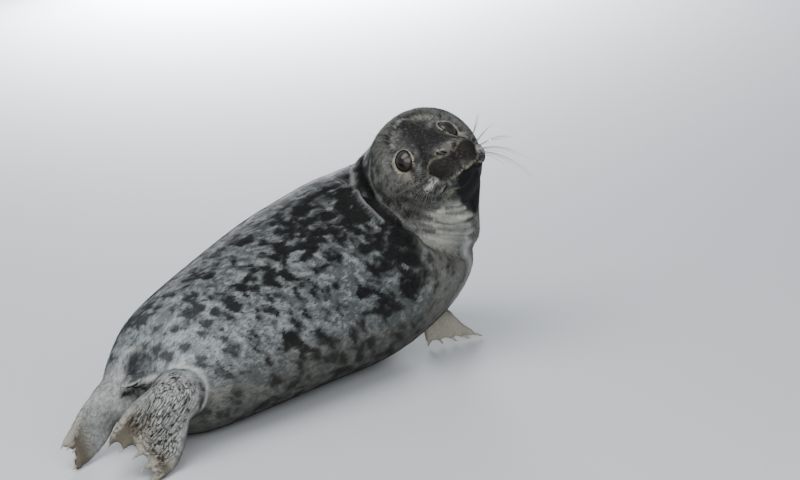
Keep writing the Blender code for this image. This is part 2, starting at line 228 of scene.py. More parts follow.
def face(centres):
    head = to_head(centres)
    return (head[:, 0] > -0.045) & (np.linalg.norm(head - (0.03, 0, -0.04), axis=1) < 0.10)


def finest(centres):
    head = to_head(centres)
    nose = np.linalg.norm(head - (0.084, 0, -0.027), axis=1) < 0.026
    return nose | (np.min([eye_turn(head, side)[1] for side in SIDES.values()], axis=0) < 0.20)


def creased(centres):
    """The neck's folds and the ankles."""
    throat = np.linalg.norm(centres - (0.30, -0.10, 0.255), axis=1) < 0.095
    nape = np.linalg.norm(centres - (0.22, -0.03, 0.31), axis=1) < 0.075
    return throat | nape | (from_ankle(centres)[0] < 0.062)


# ---- Eyes and lids ----
OPEN_UP = math.radians(61)  # half angles that the open lids span, seen from the eye's centre
OPEN_ALONG = math.radians(53)


def eye_turn(head, side):
    """Distance from an eye's centre, and angle out from the edge of its open lids."""
    centre = np.array(EYE_CENTRE) * (1, side, 1)
    gaze = EYE_GAZE * (1, side, 1)
    away = head - centre
    reach = np.linalg.norm(away, axis=1)
    way = away / reach[:, None]
    ahead = np.clip(way @ gaze, -1, 1)
    up = np.array((0, 0, 1)) - gaze * gaze[2]
    up /= np.linalg.norm(up)
    along = np.cross(gaze, up)
    rising, running = way @ up, way @ along
    turn = np.arccos(ahead)
    around = np.arctan2(rising, running)
    edge = 1 / np.sqrt((np.cos(around) / OPEN_ALONG) ** 2 + (np.sin(around) / OPEN_UP) ** 2)
    return reach, turn - edge


LID_PROUD = 0.0011  # of the lids' edge over the eye
LID_SPAN = 0.42  # angle over which a lid runs into the face


def press_lids(skin):
    head = to_head(skin.places)
    for side in SIDES.values():
        reach, out = eye_turn(head, side)
        mine = reach < 0.040
        centre = np.array(EYE_CENTRE) * (1, side, 1)
        roll = 0.0012 * np.sin(np.clip(out / LID_SPAN, 0, 1) * math.pi)
        lid = EYE_RADIUS + LID_PROUD + roll
        target = lid + (reach - lid) * rise(out, 0.0, LID_SPAN)
        target = target + (EYE_RADIUS * 0.84 - target) * rise(out, 0.0, -0.07)
        moved = centre + (head - centre) * (target / reach)[:, None]
        head = np.where((mine & (out < LID_SPAN))[:, None], moved, head)
    skin.places = from_head(head)
    skin.settle()


# ---- Lines on the skin: grooves, ridges and painted strokes ----
def smooth_path(points, steps=6):
    """A smooth curve through a few points."""
    points = np.asarray(points, float)
    padded = np.vstack([2 * points[0] - points[1], points, 2 * points[-1] - points[-2]])
    curve = []
    for p, q, r, s in zip(padded, padded[1:], padded[2:], padded[3:]):
        for t in np.arange(steps) / steps:
            bend = (2 * p - 5 * q + 4 * r - s) * t**2 + (3 * q - p - 3 * r + s) * t**3
            curve.append(q + 0.5 * ((r - p) * t + bend))
    curve.append(points[-1])
    return np.array(curve)


FAR = 0.045  # beyond this a path has no effect


def distance_to(skin, points):
    """How far each vertex lies from a smooth path laid on the skin through the points."""
    path = smooth_path(points)
    inside = (skin.places > path.min(axis=0) - FAR) & (skin.places < path.max(axis=0) + FAR)
    near = np.flatnonzero(inside.all(axis=1))
    places = skin.places[near]
    laid = []
    for point in path:
        nearest = np.argmin(np.sum((places - point) ** 2, axis=1))
        normal = skin.normals[near[nearest]]
        laid.append(point - normal * ((point - places[nearest]) @ normal))
    best = np.full(len(places), 9.0)
    for a, b in zip(laid, laid[1:]):
        run = b - a
        t = np.clip((places - a) @ run / max(run @ run, 1e-12), 0, 1)
        best = np.minimum(best, np.linalg.norm(places - a - t[:, None] * run, axis=1))
    reach = np.full(len(skin.places), 9.0)
    reach[near] = best
    return reach


# ---- Face ----
NOSTRIL = [(0.080, 0.0175, -0.0185), (0.085, 0.0145, -0.026), (0.087, 0.0095, -0.031)]
PHILTRUM = [(0.090, 0, -0.036), (0.092, 0, -0.052), (0.088, 0, -0.068)]
MOUTH = [(0.082, 0, -0.074), (0.072, 0.024, -0.079), (0.052, 0.044, -0.084), (0.020, 0.058, -0.076)]
EAR = (-0.066, 0.074, -0.028)


def mirrored(points, side):
    return [(f, l * side, u) for f, l, u in points]


def press_face(skin):
    head = to_head(skin.places)
    depth = 0.0012 * blob(head, (0.086, 0, -0.028), (0.012, 0.018, 0.011))
    for side in SIDES.values():
        depth += 0.0030 * blob(head, (0.078, 0.024 * side, -0.052), (0.020, 0.017, 0.017))
        depth -= 0.0060 * bell(distance_to(skin, from_head(mirrored(NOSTRIL, side))), 0.0024)
        depth += 0.0014 * bell(distance_to(skin, from_head(mirrored(NOSTRIL, side))), 0.0060)
        depth -= 0.0030 * bell(distance_to(skin, from_head(mirrored(MOUTH, side))), 0.0024)
        depth -= 0.0040 * blob(head, (EAR[0], EAR[1] * side, EAR[2]), (0.006, 0.008, 0.003))
    depth -= 0.0026 * bell(distance_to(skin, from_head(PHILTRUM)), 0.0024)
    skin.push(depth)
    skin.settle()


# ---- Folds of the neck: a path, half width, rise or sink, colour and its strength; the colours paint shadow into the sunken folds and a highlight onto the raised ridge ----
# Painted shadow in the nape's deep folds and the neck's hollows.
NECK_SHADOW = (0.012, 0.012, 0.012)
# Painted highlight on the trunk's ridge at the nape.
RIDGE_HIGHLIGHT = (0.36, 0.37, 0.36)
# Painted shade in the throat's creases.
THROAT_CREASE_SHADE = (0.065, 0.065, 0.057)
FOLDS = [
    # The nape's crescent folds, sunk and painted with their shadow.
    ([(0.305, 0.045, 0.345), (0.275, 0.020, 0.325), (0.262, -0.010, 0.300)], 0.012, -0.004, NECK_SHADOW, 1.3),
    (
        [(0.225, -0.020, 0.320), (0.202, -0.055, 0.313), (0.197, -0.088, 0.290), (0.212, -0.108, 0.267),
         (0.250, -0.102, 0.243)],
        0.0085, -0.006, NECK_SHADOW, 1.3,
    ),
    # The trunk's ridge, raised and painted with a highlight.
    (
        [(0.308, 0.060, 0.335), (0.280, 0.040, 0.320), (0.235, 0.000, 0.322), (0.193, -0.040, 0.318),
         (0.182, -0.071, 0.300), (0.181, -0.095, 0.281)],
        0.0045, 0.0035, RIDGE_HIGHLIGHT, 0.65,
    ),
    # The throat's creases, sunk and painted with their shade.
    (
        [(0.255, -0.090, 0.292), (0.266, -0.103, 0.289), (0.298, -0.133, 0.276), (0.335, -0.137, 0.266),
         (0.385, -0.130, 0.262)],
        0.0056, -0.0060, THROAT_CREASE_SHADE, 0.9,
    ),
    (
        [(0.270, -0.095, 0.265), (0.296, -0.105, 0.257), (0.332, -0.120, 0.243), (0.372, -0.128, 0.230),
         (0.415, -0.118, 0.226)],
        0.0056, -0.0060, THROAT_CREASE_SHADE, 0.9,
    ),
    (
        [(0.275, -0.105, 0.238), (0.294, -0.110, 0.231), (0.331, -0.124, 0.215), (0.388, -0.125, 0.199),
         (0.430, -0.105, 0.200)],
        0.0056, -0.0060, THROAT_CREASE_SHADE, 0.9,
    ),
    (
        [(0.262, -0.085, 0.290), (0.283, -0.112, 0.275), (0.315, -0.125, 0.262), (0.355, -0.133, 0.253),
         (0.400, -0.125, 0.250)],
        0.0034, -0.0035, THROAT_CREASE_SHADE, 0.7,
    ),
    (
        [(0.272, -0.088, 0.262), (0.292, -0.106, 0.246), (0.326, -0.117, 0.230), (0.372, -0.128, 0.217),
         (0.420, -0.116, 0.214)],
        0.0034, -0.0035, THROAT_CREASE_SHADE, 0.7,
    ),
]
FOLD_WOBBLE = 0.0026


def press_folds(skin):
    wobble = cloud(skin.places, 22, 3.0) * FOLD_WOBBLE
    for path, width, move, _, _ in FOLDS:
        off = distance_to(skin, path) + wobble
        skin.push(move * (bell(off, width) - 0.35 * bell(off - 2.1 * width, 0.8 * width)))
    skin.settle()


# ---- Wrinkled ankles ----
ANKLES = ((-0.377, -0.050, 0.122), (-0.372, 0.118, 0.106))
FOOT_MIDDLES = ((-0.436, -0.046, 0.070), (-0.415, 0.122, 0.060))
ANKLE_CRACKS = np.array((1.0, 0.3))  # how strongly each is cracked
WRINKLE_RUN = 0.0062  # between wrinkles, outward from the foot's middle line
WRINKLE_DEPTH = 0.0009
CRACK_RUN = 0.0034  # of the finer cracks that are painted
CRACK_LENGTH = 0.020
HALF_ROUND = 0.04  # length given to each radian around an ankle


def from_ankle(places):
    """For the nearer foot: distance from its middle line, way along it, turn about the ankle, which foot."""
    found = []
    for ankle, foot in zip(ANKLES, FOOT_MIDDLES):
        line = np.array(foot) - np.array(ankle)
        length = np.linalg.norm(line)
        down = line / length
        across = np.cross(down, (0, 1, 0))
        away = places - np.array(ankle)
        share = np.clip(away @ down, 0, length)
        off = away - share[:, None] * down
        round_top = np.arctan2(off @ across, -(off @ down))
        along = HALF_ROUND * round_top + np.sign(round_top) * share
        found.append([np.linalg.norm(off, axis=1), along, np.arctan2(away @ across, away @ down)])
    found = np.array(found)
    near = np.argmin(found[:, 0], axis=0)
    reach, along, turn = found[near, :, np.arange(len(places))].T
    return reach, along, turn, near


def cracked(places):
    """How much of the wrinkled ankles covers each place."""
    reach, _, _, near = from_ankle(places)
    edge = reach + 0.012 * cloud(places, 60, 5.0)
    return rise(edge, 0.066, 0.040) * rise(places[:, 0], -0.470, -0.430) * ANKLE_CRACKS[near]


def press_ankles(skin):
    reach, _, _, _ = from_ankle(skin.places)
    warp = 0.007 * cloud(skin.places, 45, 2.0) + 0.003 * cloud(skin.places, 130, 7.0)
    wave = np.sin((reach + warp) * 2 * math.pi / WRINKLE_RUN)
    skin.push(-WRINKLE_DEPTH * rise(wave, -0.2, 0.9) * cracked(skin.places))
    skin.settle()


# ---- Markings ----
BLACK = (0.010, 0.009, 0.009)
CREAM = (0.36, 0.335, 0.26)
BROW = (0.26, 0.25, 0.215)
LIP_WHITE = (0.50, 0.50, 0.46)
RIM_TAN = (0.15, 0.135, 0.105)
SMOKE = (0.052, 0.052, 0.049)
ASH = (0.16, 0.16, 0.148)
MASK = (0.015, 0.015, 0.014)
PAD_BROWN = (0.019, 0.0165, 0.0145)
NOSE_GREY = (0.115, 0.106, 0.094)
LIP = (0.27, 0.255, 0.20)
# A pale streak of fur on the crown; along the head's back edge it is laid as a painted rim highlight.
SILVER_STREAK_AND_RIM_LIGHT = (0.27, 0.28, 0.275)
THROAT_PALE = (0.50, 0.50, 0.445)
CHEST_GREY = (0.20, 0.195, 0.17)
CHIN = (0.24, 0.235, 0.16)
FLIPPER_CREAM = (0.38, 0.355, 0.30)
WEB_BROWN = (0.070, 0.056, 0.038)
PALE = (0.50, 0.51, 0.49)


def bend_of(skin, passes):
    """How the skin bends, at a scale set by the passes: above 0 on ridges, below in hollows."""
    smooth = skin.places.copy()
    for _ in range(passes):
        smooth += (skin.around(smooth) - smooth) * 0.6
    return np.einsum("ij,ij->i", skin.places - smooth, skin.normals)


class Markings:
    """Paint laid over the blotched coat: a colour and how much of it covers each vertex."""

    def __init__(self, count):
        self.colour = np.zeros((count, 3))
        self.cover = np.zeros(count)

    def lay(self, colour, amount):
        amount = np.clip(amount, 0, 1)
        cover = amount + self.cover * (1 - amount)
        share = np.divide(amount, cover, out=np.zeros_like(cover), where=cover > 1e-6)[:, None]
        self.colour = self.colour * (1 - share) + np.array(colour) * share
        self.cover = cover


# Near black under the jaw on the seal's left: black fur, and the painted shadow of the jaw's underside.
JAW_SHADOW_AND_BLACK_FUR = (0.012, 0.012, 0.012)
JAW = [(0.064, 0.016, -0.087), (0.034, 0.022, -0.096), (-0.010, 0.026, -0.109), (-0.050, 0.034, -0.124),
       (-0.085, 0.048, -0.138)]
CHIN_PATCH = [(0.040, -0.022, -0.094), (0.012, -0.026, -0.100)]  # on the seal's right
# Strokes on both sides of the head, in its frame: colour, path, half width, strength, raggedness.
HEAD_STROKES = [
    (MASK, [(-0.048, 0.006, 0.050), (-0.015, 0.008, 0.036), (0.016, 0.006, 0.012), (0.046, 0.008, -0.010)],
     0.016, 1.1, 0.9),
    (MASK, [(0.018, 0.016, 0.004), (0.042, 0.028, -0.014), (0.058, 0.036, -0.034)], 0.010, 1.2, 0.4),
    (MASK, [(-0.030, 0.024, 0.040), (-0.060, 0.050, 0.030), (-0.080, 0.072, 0.006)], 0.012, 0.6, 0.8),
    (BROW, [(-0.034, 0.022, 0.042), (-0.030, 0.040, 0.034), (-0.028, 0.052, 0.026)], 0.009, 0.5, 1.6),
    (ASH, [(-0.078, -0.020, 0.046), (-0.070, 0.020, 0.046), (-0.066, 0.050, 0.030)], 0.015, 0.7, 1.4),
    (ASH, [(-0.030, 0.066, 0.012), (-0.034, 0.078, -0.014), (-0.020, 0.082, -0.034)], 0.010, 0.7, 1.4),
    (SILVER_STREAK_AND_RIM_LIGHT, [(-0.052, 0.000, 0.052), (-0.044, 0.012, 0.049)], 0.0045, 0.55, 1.8),
    (ASH, [(-0.050, 0.060, 0.020), (-0.050, 0.078, -0.010), (-0.040, 0.084, -0.036)], 0.014, 0.6, 1.2),
    (CREAM, [(-0.006, 0.064, -0.030), (0.008, 0.060, -0.036)], 0.0085, 0.8, 1.6),
    (ASH, [(0.014, 0.050, -0.022), (0.028, 0.047, -0.032)], 0.0065, 0.6, 1.6),
    (ASH, [(-0.010, 0.076, -0.036), (0.012, 0.072, -0.050)], 0.0095, 0.6, 1.8),
    (ASH, [(0.030, 0.056, -0.054), (0.010, 0.072, -0.062)], 0.012, 0.6, 0.9),
    (PAD_BROWN, [(0.084, 0.016, -0.046), (0.072, 0.034, -0.050)], 0.0165, 1.9, 0.35),
    (RIM_TAN, [(0.084, 0.012, -0.034), (0.071, 0.031, -0.031), (0.062, 0.046, -0.046), (0.060, 0.047, -0.060),
               (0.068, 0.034, -0.069), (0.082, 0.014, -0.066)], 0.0042, 0.75, 1.3),
    (LIP_WHITE, [(0.068, 0.046, -0.058), (0.054, 0.058, -0.065), (0.036, 0.066, -0.070)], 0.0062, 0.9, 1.5),
    (LIP, [(0.086, 0.004, -0.069), (0.076, 0.024, -0.075), (0.058, 0.044, -0.080)], 0.0045, 0.5, 2.2),
]
# Strokes on the body, in the model's frame.
RUMP_DARK = (0.032, 0.034, 0.036)
# Painted highlights on the throat's ridges, over its pale fur.
THROAT_RIDGE_HIGHLIGHT = (0.70, 0.70, 0.63)
BODY_STROKES = [
    (PALE, [(-0.315, 0.000, 0.152), (-0.294, -0.045, 0.135), (-0.292, -0.064, 0.105), (-0.305, -0.070, 0.075)],
     0.0065, 0.9, 0.5),
    (RUMP_DARK, [(-0.314, 0.066, 0.164), (-0.322, 0.074, 0.154), (-0.332, 0.066, 0.144)], 0.024, 1.0, 0.5),
    (PALE, [(-0.339, 0.100, 0.125), (-0.316, 0.113, 0.153), (-0.308, 0.107, 0.165), (-0.305, 0.076, 0.173)],
     0.0055, 0.8, 0.6),
    # Black in the gap under the tail, between the ankles: painted shadow.
    (BLACK, [(-0.341, 0.026, 0.121), (-0.352, 0.046, 0.114), (-0.354, 0.082, 0.106)], 0.009, 1.1, 0.3),
    (PALE, [(-0.332, 0.020, 0.138), (-0.349, 0.035, 0.131), (-0.356, 0.052, 0.124)], 0.0035, 1.3, 0.1),
    # Pale along the chest's edge: a painted rim highlight.
    (PALE, [(0.385, -0.120, 0.190), (0.392, -0.118, 0.150), (0.375, -0.115, 0.115), (0.345, -0.118, 0.095)],
     0.019, 0.9, 0.5),
    # Pale lines on the ridges between the throat's creases: painted highlights.
    (THROAT_RIDGE_HIGHLIGHT, [(0.300, -0.128, 0.268), (0.335, -0.134, 0.259), (0.378, -0.130, 0.257)], 0.0032, 0.8, 0.4),
    (THROAT_RIDGE_HIGHLIGHT, [(0.300, -0.115, 0.259), (0.335, -0.124, 0.248), (0.378, -0.129, 0.240)], 0.0030, 0.7, 0.4),
    (THROAT_RIDGE_HIGHLIGHT, [(0.310, -0.112, 0.243), (0.350, -0.123, 0.230), (0.390, -0.125, 0.222)], 0.0030, 0.8, 0.4),
    (THROAT_RIDGE_HIGHLIGHT, [(0.310, -0.115, 0.228), (0.350, -0.126, 0.213), (0.395, -0.124, 0.207)], 0.0032, 0.7, 0.4),
    # Along the head's back edge: a painted rim highlight.
    (SILVER_STREAK_AND_RIM_LIGHT, [(0.270, -0.010, 0.365), (0.263, -0.012, 0.330), (0.258, -0.034, 0.293),
                     (0.265, -0.075, 0.258), (0.283, -0.100, 0.236)], 0.0038, 0.7, 0.3),
]


def lay_strokes(skin, paint, strokes, ragged, turned=False):
    for colour, path, width, strength, rough in strokes:
        for side in SIDES.values() if turned else (1,):
            laid = from_head(mirrored(path, side)) if turned else path
            edge = bell(distance_to(skin, laid), width)
            paint.lay(colour, strength * edge * (1 + rough * ragged) - 0.06)


def mark_head(skin, paint):
    head = to_head(skin.places)
    speck = cloud(head, 230, 5.0)
    patch = cloud(head, 75, 8.0)
    grain = cloud(head, 400, 12.0)
    ragged = 0.8 * speck + 0.7 * patch + 1.3 * grain
    near = rise(np.linalg.norm(head - (-0.03, 0, -0.04), axis=1), 0.16, 0.13)
    whole = near * rise(head[:, 0] + 0.015 * patch, -0.115, -0.055) * rise(head[:, 2], -0.130, -0.100)
    paint.lay(SMOKE, 0.92 * whole)
    paint.lay(ASH, whole * rise(patch + 0.6 * speck + 0.5 * grain, 0.05, 0.75))
    paint.lay(MASK, whole * 0.8 * rise(patch + 0.6 * speck + 0.4 * grain, -0.15, -0.60))
    # Black fur and painted shadow under the jaw, on the seal's left.
    jaw = distance_to(skin, from_head(JAW)) - 0.004 * patch
    paint.lay(JAW_SHADOW_AND_BLACK_FUR, rise(jaw, 0.036, 0.027))
    paint.lay(CHIN, 0.8 * bell(distance_to(skin, from_head(CHIN_PATCH)), 0.008) * (1 + ragged))
    lay_strokes(skin, paint, HEAD_STROKES, ragged, turned=True)
    muzzle = blob(head, (0.076, 0, -0.048), (0.026, 0.042, 0.026))
    top = whole * (1 - rise(muzzle, 0.15, 0.4)) * rise(jaw, 0.036, 0.042)
    paint.lay(ASH, 0.35 * top * rise(0.5 * grain + speck, 0.10, 0.75))
    for side in SIDES.values():
        _, out = eye_turn(head, side)
        from_eye = np.linalg.norm(head - np.array(EYE_CENTRE) * (1, side, 1), axis=1)
        close = from_eye < 0.045
        ring = bell(out - 0.145, 0.055) * rise(from_eye + 0.003 * speck, 0.030, 0.025)
        paint.lay(CREAM, 1.1 * ring * (0.85 + 0.9 * ragged))
        below = rise(from_eye, 0.024, 0.027) * rise(from_eye, 0.044, 0.036) * rise(head[:, 2], 0.000, -0.016)
        paint.lay(PAD_BROWN, 0.6 * below * rise(speck + 0.5 * grain, 0.05, 0.30))
        paint.lay(BLACK, rise(out, 0.105, 0.060) * close)
        paint.lay(BLACK, bell(distance_to(skin, from_head(mirrored(MOUTH, side))), 0.0024))
    paint.lay(ASH, 0.25 * rise(muzzle, 0.35, 0.6) * rise(grain, 0.05, 0.45))
    nose = blob(head, (0.086, 0, -0.026), (0.016, 0.020, 0.011))
    paint.lay(NOSE_GREY, 2.2 * nose - 0.5 + 0.3 * speck)
    for side in SIDES.values():
        nostril = distance_to(skin, from_head(mirrored(NOSTRIL, side)))
        # Cream on the nostrils' upper rims: painted highlights.
        paint.lay(CREAM, 0.9 * bell(nostril - 0.0042, 0.0015) * rise(head[:, 2], -0.027, -0.020))
        paint.lay(BLACK, 1.3 * bell(nostril, 0.0026))
        ear = blob(head, (EAR[0], EAR[1] * side, EAR[2]), (0.004, 0.006, 0.002))
        paint.lay(BLACK, 1.4 * ear)
    paint.lay(BLACK, 0.8 * bell(distance_to(skin, from_head(PHILTRUM)), 0.002))
    # Gives where the black fur and painted shadow under the jaw lie.
    return rise(jaw, 0.036, 0.027)


TAIL_MIDDLE = (-0.352, 0.053, 0.130)


def mark_limbs(skin, paint):
    x, y, z = skin.places.T
    bend = bend_of(skin, 14)
    speck = cloud(skin.places, 160, 6.0)
    reach, _, turn, _ = from_ankle(skin.places)
    ankle = rise(reach, 0.070, 0.048) * rise(x, -0.29, -0.315)
    hind = rise(x, -0.405, -0.45)
    fore = rise(z, 0.070, 0.035) * rise(x, 0.31, 0.33)
    bare = np.maximum(hind, fore * 0.8)
    paint.lay(PALE, ankle * (0.72 + 0.5 * speck))
    paint.lay(FLIPPER_CREAM, bare * (0.95 + 0.2 * speck))
    rays = cloud(np.column_stack([turn * 3.4, reach * 9, y * 9]), 1, 3.0) + 0.3 * speck
    paint.lay(WEB_BROWN, 0.8 * rise(x, -0.405, -0.45) * rise(rays, -0.10, 0.20))
    # Web brown laid where the hind flippers are hollow: the web's own colour, with painted shade darkening the
    # hollows.
    hollow = rise(bend, 0.0001, -0.0004) * rise(x, -0.38, -0.41)
    paint.lay(WEB_BROWN, hollow * (0.85 + 0.3 * speck))
    tail = rise(np.abs(y - TAIL_MIDDLE[1]), 0.034, 0.028) * rise(np.abs(z - TAIL_MIDDLE[2]), 0.026, 0.020)
    tail *= rise(x, -0.322, -0.334) * rise(reach, 0.030, 0.040)
    # On the tail: black on the faces turned down is painted shadow, pale on those turned up is painted light.
    facing = skin.normals[:, 2]
    paint.lay(BLACK, tail * rise(facing, 0.0, -0.4))
    paint.lay(PALE, 0.9 * tail * bell(facing - 0.15, 0.35))


def markings(skin):
    """Writes the values that the fur's and the skin's finish reads."""
    x, y, z = skin.places.T
    paint = Markings(len(skin.places))
    ragged = cloud(skin.places, 120, 4.0) + 0.8 * cloud(skin.places, 40, 9.0)
    chest = rise(x + 0.02 * ragged, 0.20, 0.31) * rise(z + 0.035 * ragged, 0.31, 0.20)
    throat = blob(skin.places, (0.325, -0.135, 0.240), (0.085, 0.055, 0.046))
    paint.lay(CHEST_GREY, 0.7 * chest * (1 + 1.3 * ragged))
    mark_limbs(skin, paint)
    # Where the black fur and painted shadow under the jaw lie, kept clear of the pale throat.
    jaw_shadow_and_fur = mark_head(skin, paint)
    paint.lay(THROAT_PALE, 0.9 * rise(throat + 0.03 * ragged, 0.16, 0.72) * (1 - jaw_shadow_and_fur))
    crease = bend_of(skin, 10)
    near_neck = blob(skin.places, (0.30, -0.07, 0.26), (0.11, 0.14, 0.10))
    # Painted shade: near black laid in the hollows of the skin about the neck.
    paint.lay(NECK_SHADOW, 0.8 * rise(crease, -0.0006, -0.0020) * rise(near_neck, 0.1, 0.4))
    # The folds' colours: painted shadow in the sunken folds, a painted highlight on the raised ridge.
    for path, width, _, colour, strength in FOLDS:
        paint.lay(colour, strength * bell(distance_to(skin, path), width))
    lay_strokes(skin, paint, BODY_STROKES, ragged)
    shoulder = blob(skin.places, (0.21, -0.02, 0.28), (0.15, 0.25, 0.12))
    rump = rise(x, -0.12, -0.30)
    low = rise(z, 0.165, 0.075)
    reach, along, _, _ = from_ankle(skin.places)
    front = blob(skin.places, (0.19, -0.13, 0.19), (0.13, 0.12, 0.09))
    dark = 0.018 + 0.15 * shoulder + 0.10 * front - 0.02 * rump - 0.09 * chest
    return {
        "root": skin.places,
        "dark": dark,
        "low": low,
        "rump": rump,
        "mark": np.column_stack([paint.colour, paint.cover]),
        "ripple": np.column_stack([reach / CRACK_RUN, along / CRACK_LENGTH, y * 30]),
        "cracked": cracked(skin.places),
    }


def write_values(mesh, values):
    """Stores arrays as attributes on the mesh's vertices."""
    for name, array in values.items():
        kinds = {1: ("FLOAT", "value"), 3: ("FLOAT_VECTOR", "vector"), 4: ("FLOAT_COLOR", "color")}
        width = 1 if array.ndim == 1 else array.shape[1]
        kind, field = kinds[width]
        layer = mesh.attributes.new(name, kind, "POINT")
        layer.data.foreach_set(field, np.ascontiguousarray(array, np.float32).ravel())


# ---- Coat ----
LIE = [  # where, which way the fur runs there, and how far that reaches
    (from_head((0.09, 0, -0.03)), -head_axes[:, 0], 0.06),
    (from_head((0.0, 0, 0.03)), -head_axes[:, 0], 0.06),
    (from_head((-0.02, 0, -0.10)), -head_axes[:, 0] - 0.6 * head_axes[:, 2], 0.06),
    (np.array((0.34, -0.03, 0.27)), np.array((0.1, 0.3, -1.0)), 0.09),
    (np.array((0.30, 0.03, 0.15)), np.array((-0.8, 0, -0.45)), 0.12),
    (np.array((0.10, 0.05, 0.15)), np.array((-1.0, 0, -0.15)), 0.20),
    (np.array((-0.15, 0.05, 0.12)), np.array((-1.0, 0, -0.1)), 0.20),
    (np.array((-0.40, 0.05, 0.08)), np.array((-1.0, 0, -0.35)), 0.12),
    (np.array((0.39, -0.06, 0.02)), np.array((0.5, -0.7, -0.7)), 0.05),
    (np.array((0.39, 0.12, 0.02)), np.array((0.5, 0.7, -0.7)), 0.05),
]


def lie_of_fur(places, normals):
    """The way along the skin in which the fur lies at each place."""
    way = np.zeros_like(places)
    for centre, run, reach in LIE:
        run = np.asarray(run) / np.linalg.norm(run)
        weight = 1 / (1 + (np.linalg.norm(places - centre, axis=1) / reach) ** 4)
        way += weight[:, None] * run
    way -= normals * np.einsum("ij,ij->i", way, normals)[:, None]
    return way / np.maximum(np.linalg.norm(way, axis=1), 1e-6)[:, None]


class Corners:
    """The skin's triangles, from which tufts grow."""

    def __init__(self, skin, values):
        mesh = skin.mesh
        mesh.calc_loop_triangles()
        count = len(mesh.loop_triangles)
        verts = np.empty(count * 3, np.int32)
        loops = np.empty(count * 3, np.int32)
        mesh.loop_triangles.foreach_get("vertices", verts)
        mesh.loop_triangles.foreach_get("loops", loops)
        self.verts, self.loops = verts.reshape(-1, 3), loops.reshape(-1, 3)
        flat = np.empty(len(mesh.loops) * 2, np.float32)
        mesh.uv_layers[0].uv.foreach_get("vector", flat)
        self.flat = flat.reshape(-1, 2)
        self.skin, self.values = skin, values
        a, b, c = (skin.places[self.verts[:, k]] for k in range(3))
        self.areas = np.linalg.norm(np.cross(b - a, c - a), axis=1) / 2
        self.centres = (a + b + c) / 3

    def blend(self, array, chosen, weights):
        return np.einsum("nkd,nk->nd", array[self.verts[chosen]], weights)


def tufts(name, corners, belongs, spacing, length, seed):
    """One piece of the coat: flat tapering tufts, spacing apart, over the triangles that belong to it."""
    pick = np.random.default_rng(SEED + seed)
    areas = corners.areas * belongs
    total = int(areas.sum() / spacing**2)
    steps = (np.arange(total) + pick.random(total)) / total
    chosen = np.searchsorted(np.cumsum(areas) / areas.sum(), steps).clip(0, len(areas) - 1)
    weights = pick.dirichlet((1, 1, 1), total)
    skin = corners.skin
    root = corners.blend(skin.places, chosen, weights)
    normal = corners.blend(skin.normals, chosen, weights)
    normal /= np.linalg.norm(normal, axis=1)[:, None]
    values = {
        key: corners.blend(array if array.ndim > 1 else array[:, None], chosen, weights)
        for key, array in corners.values.items()
    }
    flat = np.einsum("nkd,nk->nd", corners.flat[corners.loops[chosen]], weights)
    way = lie_of_fur(root, normal)
    side = np.cross(normal, way)
    stray = pick.normal(0, 0.22, total)[:, None]
    way = way * np.cos(stray) + side * np.sin(stray)
    side = np.cross(normal, way)
    long = (length * (0.75 + 0.5 * pick.random(total)))[:, None]
    wide = long * 0.085
    lift = (0.07 + 0.09 * pick.random(total))[:, None]
    base = root - normal * 0.0005
    waist = root + way * long * 0.5 + normal * long * lift
    tip = root + way * long + normal * long * lift * 1.25
    points = np.stack([base - side * wide, base + side * wide, waist - side * wide * 0.8,
                       waist + side * wide * 0.8, tip], axis=1)
    points[:, :, 2] = np.maximum(points[:, :, 2], 0.0004)
    faces = np.array([(0, 1, 3), (0, 3, 2), (2, 3, 4)])
    faces = (faces[None] + 5 * np.arange(total)[:, None, None]).reshape(-1, 3)
    mesh = bpy.data.meshes.new(name)
    mesh.vertices.add(total * 5)
    mesh.vertices.foreach_set("co", points.astype(np.float32).ravel())
    mesh.loops.add(len(faces) * 3)
    mesh.loops.foreach_set("vertex_index", faces.astype(np.int32).ravel())
    mesh.polygons.add(len(faces))
    mesh.polygons.foreach_set("loop_start", np.arange(len(faces), dtype=np.int32) * 3)
    mesh.update(calc_edges=True)
    values = {key: np.repeat(array, 5, axis=0) for key, array in values.items()}
    values = {key: array[:, 0] if array.shape[1] == 1 else array for key, array in values.items()}
    values["hair"] = np.repeat(pick.random(total), 5)
    write_values(mesh, values)
    patch = np.array([(-1, -1), (1, -1), (-0.8, 0), (0.8, 0), (0, 1)]) * 0.0015
    spots = (flat[:, None] + patch).reshape(-1, 2)
    layer = mesh.uv_layers.new(name="OFBake")
    layer.uv.foreach_set("vector", spots[faces.ravel()].astype(np.float32).ravel())
    obj = bpy.data.objects.new(name, mesh)
    bpy.context.scene.collection.objects.link(obj)
    return obj


# ---- Finishes ----
class Value:
    """A socket in an expression: each operator adds the Math node that it stands for."""

    def __init__(self, nodes, socket):
        self.nodes, self.socket = nodes, socket

    def math(self, operation, *others):
        return self.nodes.add("Math", {"operation": operation}, self, *others)

    def __add__(self, other):
        return self.math("ADD", other)

    def __radd__(self, other):
        return self.math("ADD", other)

    def __sub__(self, other):
        return self.math("SUBTRACT", other)

    def __rsub__(self, other):
        return self.nodes.add("Math", {"operation": "SUBTRACT"}, other, self)

    def __mul__(self, other):
        return self.math("MULTIPLY", other)

    def __rmul__(self, other):
        return self.math("MULTIPLY", other)

    def __truediv__(self, other):
        return self.math("DIVIDE", other)


